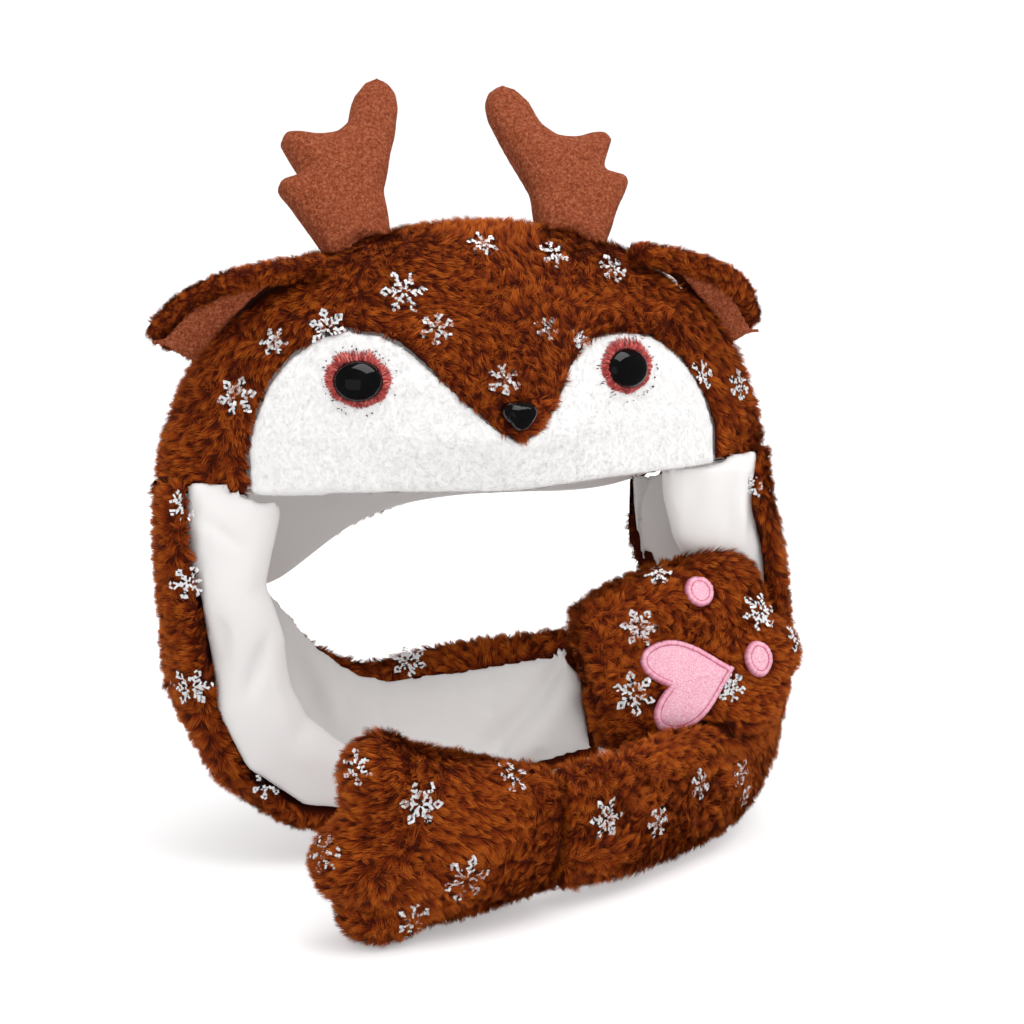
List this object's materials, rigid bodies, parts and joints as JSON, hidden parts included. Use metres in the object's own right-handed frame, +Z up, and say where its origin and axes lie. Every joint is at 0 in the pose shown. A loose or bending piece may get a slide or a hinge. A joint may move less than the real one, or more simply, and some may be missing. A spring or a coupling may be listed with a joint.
{
  "type": "plush reindeer hood with scarf arms and mitten paws",
  "caption": "Plush reindeer hood with antlers and ears, whose side flaps run into padded scarf arms that cross in front and end in pocket mittens.",
  "frame": {"origin": "inside top of the crown's lining, in the middle, where it sits on a head", "axes": "+Z up out of the crown, the face looks along -Y, and +X is to the right as seen from the front"},
  "size_m": [0.3121, 0.2225, 0.3622],
  "materials": {
    "brown_plush": "long-pile polyester plush",
    "white_plush": "long-pile white plush",
    "white_velour": "short-pile white velour",
    "rust_velour": "crushed short-pile velour",
    "black_plastic": "polished",
    "coral_thread": "frayed glitter embroidery",
    "pink_felt": "brushed felt with a satin-stitched edge"
  },
  "bodies": {
    "root": {"hood_fur": "brown_plush", "ear_left": "brown_plush", "ear_right": "brown_plush", "flap_left_fur": "brown_plush", "flap_right_fur": "brown_plush", "paw_left": "brown_plush", "paw_right": "brown_plush", "face_patch": "white_plush", "hood_lining": "white_velour", "flap_left_lining": "white_velour", "flap_right_lining": "white_velour", "facing_left": "white_velour", "facing_right": "white_velour", "antler_left": "rust_velour", "antler_right": "rust_velour", "ear_lining_left": "rust_velour", "ear_lining_right": "rust_velour", "eye_left": "black_plastic", "eye_right": "black_plastic", "nose": "black_plastic", "eye_ring_left": "coral_thread", "eye_ring_right": "coral_thread", "heart_pad_left": "pink_felt", "heart_pad_right": "pink_felt", "toe_pad_left_1": "pink_felt", "toe_pad_left_2": "pink_felt", "toe_pad_left_3": "pink_felt", "toe_pad_right_1": "pink_felt", "toe_pad_right_2": "pink_felt", "toe_pad_right_3": "pink_felt"}
  },
  "joints": []
}
